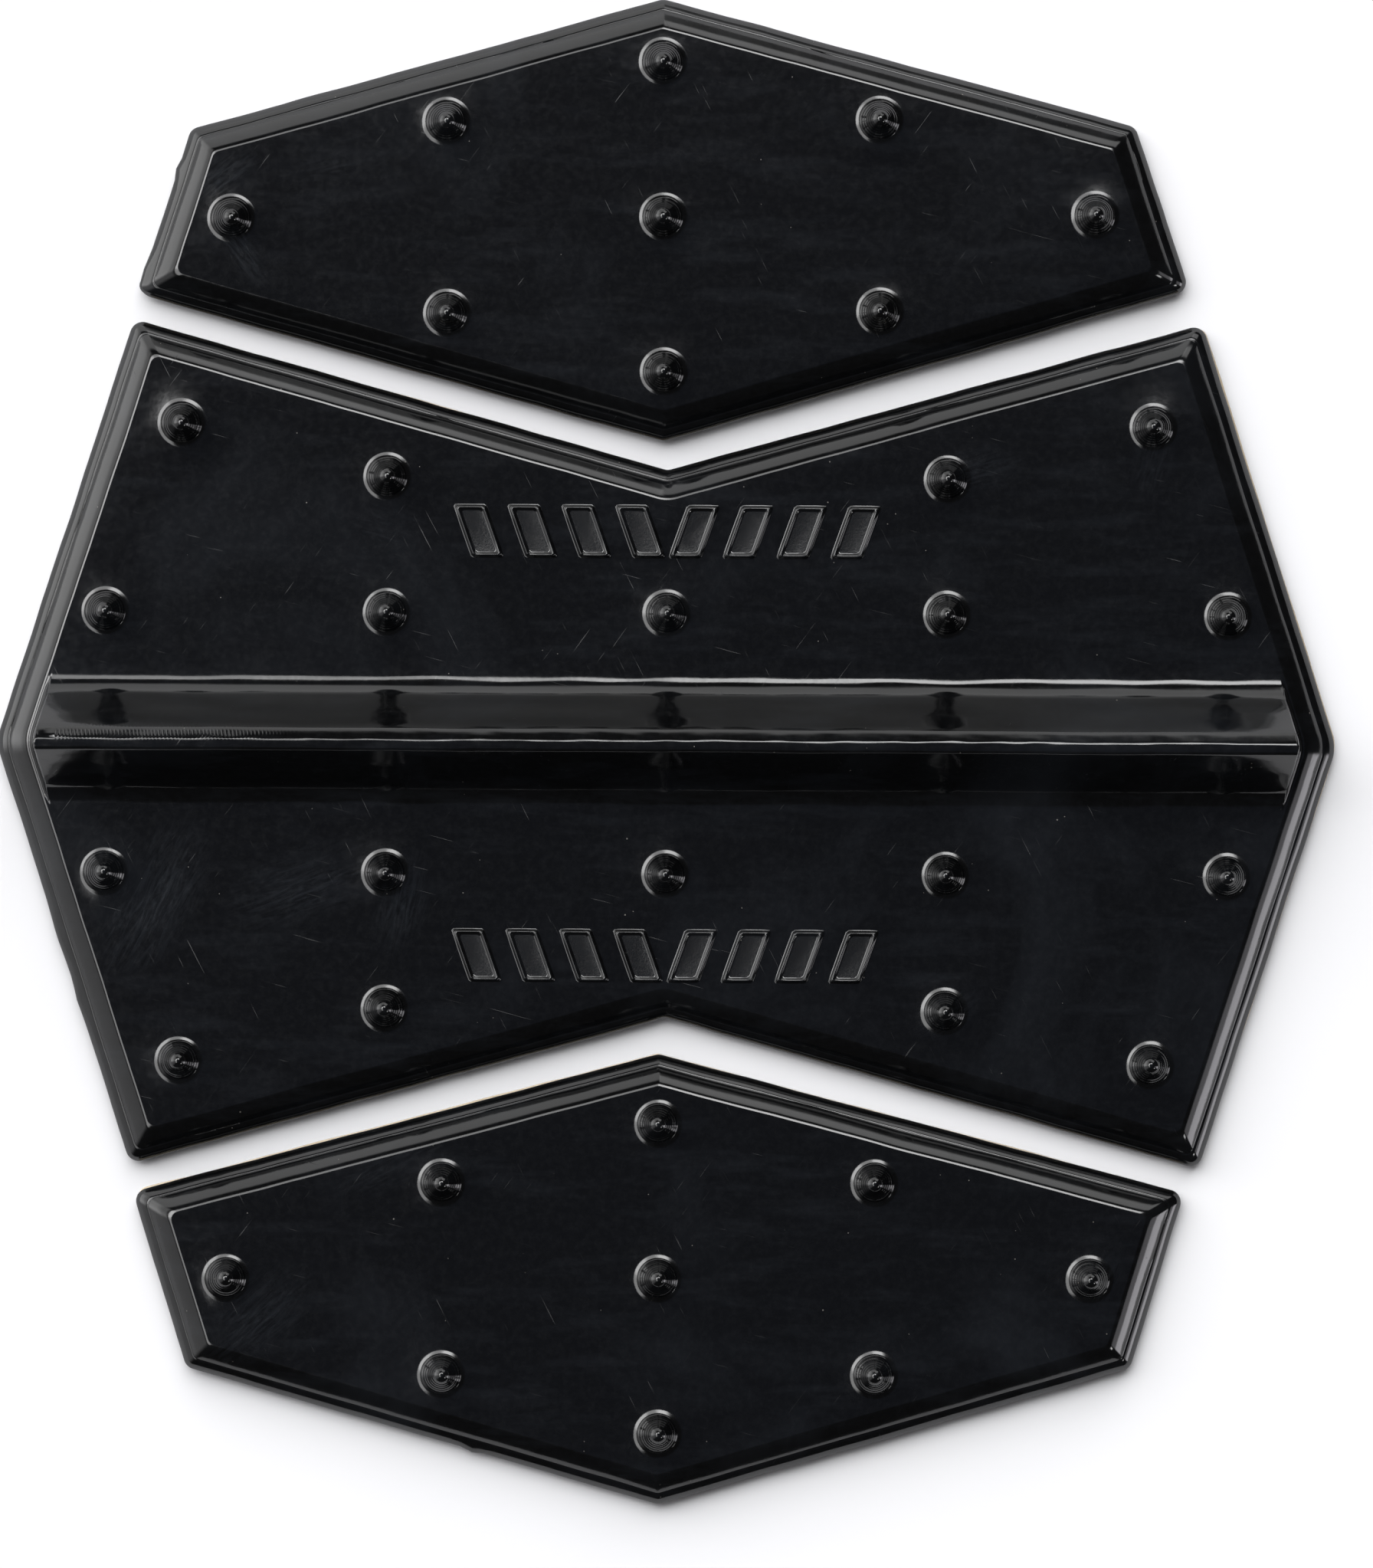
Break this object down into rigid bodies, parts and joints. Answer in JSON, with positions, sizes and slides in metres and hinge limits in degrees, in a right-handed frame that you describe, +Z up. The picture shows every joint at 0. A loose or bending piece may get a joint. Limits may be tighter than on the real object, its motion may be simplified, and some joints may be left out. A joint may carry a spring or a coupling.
{
  "type": "snowboard stomp pad",
  "caption": "Modular snowboard stomp pad: studded octagonal grip mat in separate glossy moulded sections, the middle one with a tall cross ridge, each on an adhesive sheet and release liner.",
  "frame": {"origin": "on the resting plane, in the middle of the set's overall plan", "axes": "+Z up, away from the deck; +Y across the ridge towards the front section; +X along the ridge"},
  "size_m": [0.1246, 0.1404, 0.0094],
  "materials": {
    "urethane": "high-gloss cast polyurethane",
    "adhesive": "double-sided acrylic foam adhesive",
    "liner": "satin silicone-coated release paper"
  },
  "bodies": {
    "centre_liner": {"centre_release_liner": "liner"},
    "centre_section": {"centre_pad": "urethane", "centre_adhesive": "adhesive"},
    "front_liner": {"front_release_liner": "liner"},
    "front_section": {"front_pad": "urethane", "front_adhesive": "adhesive"},
    "rear_liner": {"rear_release_liner": "liner"},
    "rear_section": {"rear_pad": "urethane", "rear_adhesive": "adhesive"}
  },
  "joints": [
    {"name": "centre_peel", "type": "slide", "parent": "centre_liner", "child": "centre_section", "axis": [0, 0, 1], "range_m": [0, 0.03]},
    {"name": "front_placing", "type": "slide", "parent": "centre_liner", "child": "front_liner", "axis": [0, 1, 0], "range_m": [-0.0015, 0.03]},
    {"name": "front_peel", "type": "slide", "parent": "front_liner", "child": "front_section", "axis": [0, 0, 1], "range_m": [0, 0.03]},
    {"name": "rear_placing", "type": "slide", "parent": "centre_liner", "child": "rear_liner", "axis": [0, -1, 0], "range_m": [-0.0015, 0.03]},
    {"name": "rear_peel", "type": "slide", "parent": "rear_liner", "child": "rear_section", "axis": [0, 0, 1], "range_m": [0, 0.03]}
  ]
}
